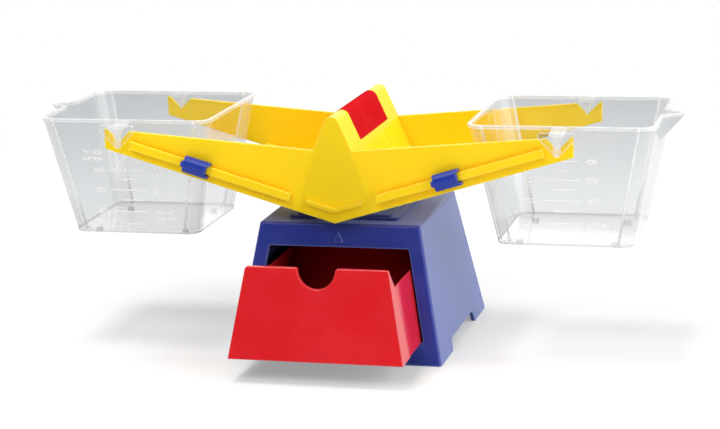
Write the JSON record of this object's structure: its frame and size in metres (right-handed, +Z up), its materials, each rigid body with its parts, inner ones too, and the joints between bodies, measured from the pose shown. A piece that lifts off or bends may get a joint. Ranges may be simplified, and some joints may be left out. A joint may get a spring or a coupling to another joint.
{
  "type": "bucket balance scale",
  "caption": "Plastic toy bucket balance: a trough beam tips on an axle and carries hanging clear measuring buckets and zero-setting sliders, over a base with a drawer.",
  "frame": {"origin": "centre of the whole footprint at rest, drawer part open, on the table", "axes": "+X along the beam to the right as pictured, +Y to the back, +Z up"},
  "size_m": [0.4046, 0.1782, 0.1491],
  "materials": {
    "base_blue": "glossy moulded plastic, deep blue",
    "beam_yellow": "satin moulded plastic, warm yellow",
    "red": "glossy moulded plastic, red",
    "slider_blue": "glossy moulded plastic, mid blue",
    "clear": "clear moulded plastic with raised graduations",
    "steel": "bright drawn steel"
  },
  "bodies": {
    "base": {"base_shell": "base_blue", "base_floor": "base_blue", "floor_screws": "steel", "pivot_tower": "base_blue", "tower_screws": "steel", "pivot_axle": "steel"},
    "beam": {"beam": "beam_yellow", "grip_cover": "red"},
    "slider_left": {"slider_left": "slider_blue"},
    "slider_right": {"slider_right": "slider_blue"},
    "bucket_left": {"bucket_left": "clear"},
    "bucket_right": {"bucket_right": "clear"},
    "drawer": {"drawer": "red"}
  },
  "joints": [
    {"name": "beam_tilt", "type": "hinge", "parent": "base", "child": "beam", "pos_m": [0, 0.02307, 0.134], "axis": [0, 1, 0], "range_deg": [-15, 15]},
    {"name": "bucket_left_swing", "type": "hinge", "parent": "beam", "child": "bucket_left", "pos_m": [-0.135, 0.02307, 0.1322], "axis": [0, 1, 0], "range_deg": [-15, 15]},
    {"name": "bucket_right_swing", "type": "hinge", "parent": "beam", "child": "bucket_right", "pos_m": [0.135, 0.02307, 0.1322], "axis": [0, 1, 0], "range_deg": [-15, 15]},
    {"name": "slider_left_slide", "type": "slide", "parent": "beam", "child": "slider_left", "axis": [-0.9583, 0, 0.2858], "range_m": [-0.052, 0.0255]},
    {"name": "slider_right_slide", "type": "slide", "parent": "beam", "child": "slider_right", "axis": [0.9583, 0, 0.2858], "range_m": [-0.036, 0.041]},
    {"name": "drawer_slide", "type": "slide", "parent": "base", "child": "drawer", "axis": [0, -1, 0], "range_m": [-0.049, 0.04]}
  ]
}
